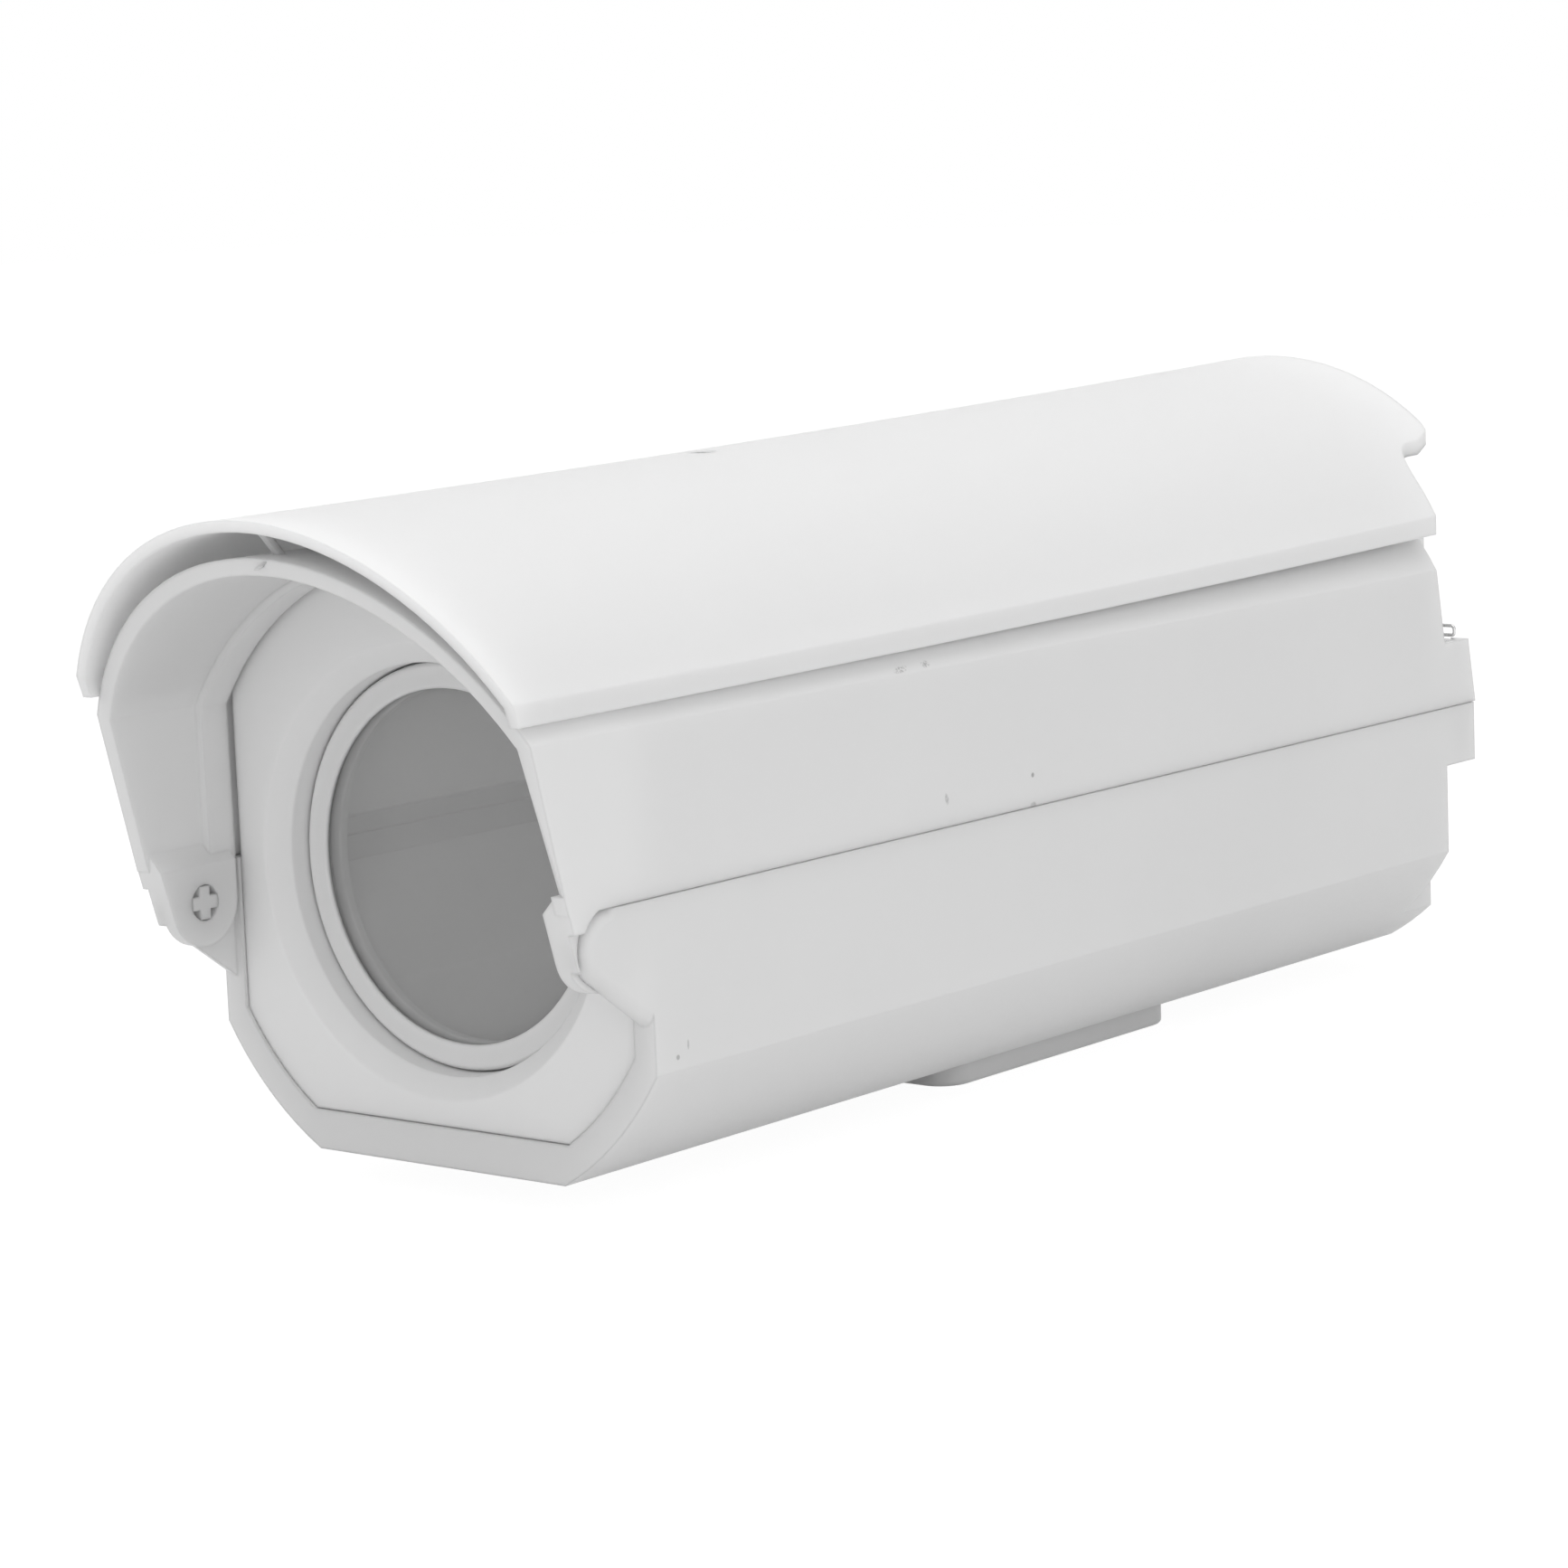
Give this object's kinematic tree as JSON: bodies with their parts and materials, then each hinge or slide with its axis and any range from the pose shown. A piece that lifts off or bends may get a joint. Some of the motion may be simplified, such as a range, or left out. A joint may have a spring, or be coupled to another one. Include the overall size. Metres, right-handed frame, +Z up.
{
  "type": "security camera housing",
  "caption": "Long white plastic housing for a fixed security camera: tub with hinged hooded cover, sunshield, round glass window and mounting pad.",
  "frame": {"origin": "centre of the mounting pad's underside, where a bracket bolts on", "axes": "+Z up, window and hood towards -Y, +X to the right as seen from the front looking back along +Y"},
  "size_m": [0.1306, 0.4104, 0.1646],
  "materials": {
    "shell_plastic": "satin moulded white plastic",
    "cover_plastic": "satin moulded white plastic",
    "shield_plastic": "satin moulded white plastic",
    "plate_plastic": "satin moulded white plastic",
    "window_glass": "clear, slightly grey",
    "rubber": "matte black",
    "tray_aluminium": "plain rolled sheet",
    "zinc_steel": "zinc plated",
    "latch_steel": "bright nickel plated",
    "nylon": "pale grey nylon",
    "brass": "plain knurled brass"
  },
  "bodies": {
    "housing": {"base_shell": "shell_plastic", "front_plate": "plate_plastic", "window_bezel": "plate_plastic", "window_glass": "window_glass", "window_gasket": "rubber", "glass_clamp": "plate_plastic", "clamp_screws": "zinc_steel", "lid_seal": "rubber", "camera_tray": "tray_aluminium", "tray_screws": "zinc_steel", "mount_inserts": "brass", "gland_body_left": "nylon", "gland_body_right": "nylon", "gland_cap_left": "nylon", "gland_cap_right": "nylon", "gland_insert_left": "rubber", "gland_insert_right": "rubber", "gland_seals": "rubber", "gland_locknuts": "nylon"},
    "cover": {"top_cover": "cover_plastic", "sunshield": "shield_plastic", "shield_screw": "zinc_steel", "shield_washer": "nylon"},
    "stud_left": {"latch_stud_left": "latch_steel", "latch_key_left": "latch_steel", "latch_clip_left": "latch_steel"},
    "stud_right": {"latch_stud_right": "latch_steel", "latch_key_right": "latch_steel", "latch_clip_right": "latch_steel"},
    "ring_left": {"latch_ring_left": "latch_steel"},
    "ring_right": {"latch_ring_right": "latch_steel"},
    "camera_fixing": {"camera_screw": "zinc_steel", "screw_washer": "nylon"}
  },
  "joints": [
    {"name": "cover_hinge", "type": "hinge", "parent": "housing", "child": "cover", "pos_m": [0, -0.2062, 0.0644], "axis": [1, 0, 0], "range_deg": [0, 50]},
    {"name": "stud_turn_left", "type": "hinge", "parent": "cover", "child": "stud_left", "pos_m": [-0.0575, 0.1362, 0.0901], "axis": [0, 0, 1], "range_deg": [-90, 0]},
    {"name": "stud_turn_right", "type": "hinge", "parent": "cover", "child": "stud_right", "pos_m": [0.0575, 0.1362, 0.0901], "axis": [0, 0, 1], "range_deg": [-90, 0]},
    {"name": "ring_swing_left", "type": "hinge", "parent": "stud_left", "child": "ring_left", "pos_m": [-0.0575, 0.1362, 0.0914], "axis": [1, 0, 0], "range_deg": [-85, 85]},
    {"name": "ring_swing_right", "type": "hinge", "parent": "stud_right", "child": "ring_right", "pos_m": [0.0575, 0.1362, 0.0914], "axis": [1, 0, 0], "range_deg": [-85, 85]},
    {"name": "camera_slide", "type": "slide", "parent": "housing", "child": "camera_fixing", "axis": [0, 1, 0], "range_m": [-0.05, 0.05]}
  ]
}
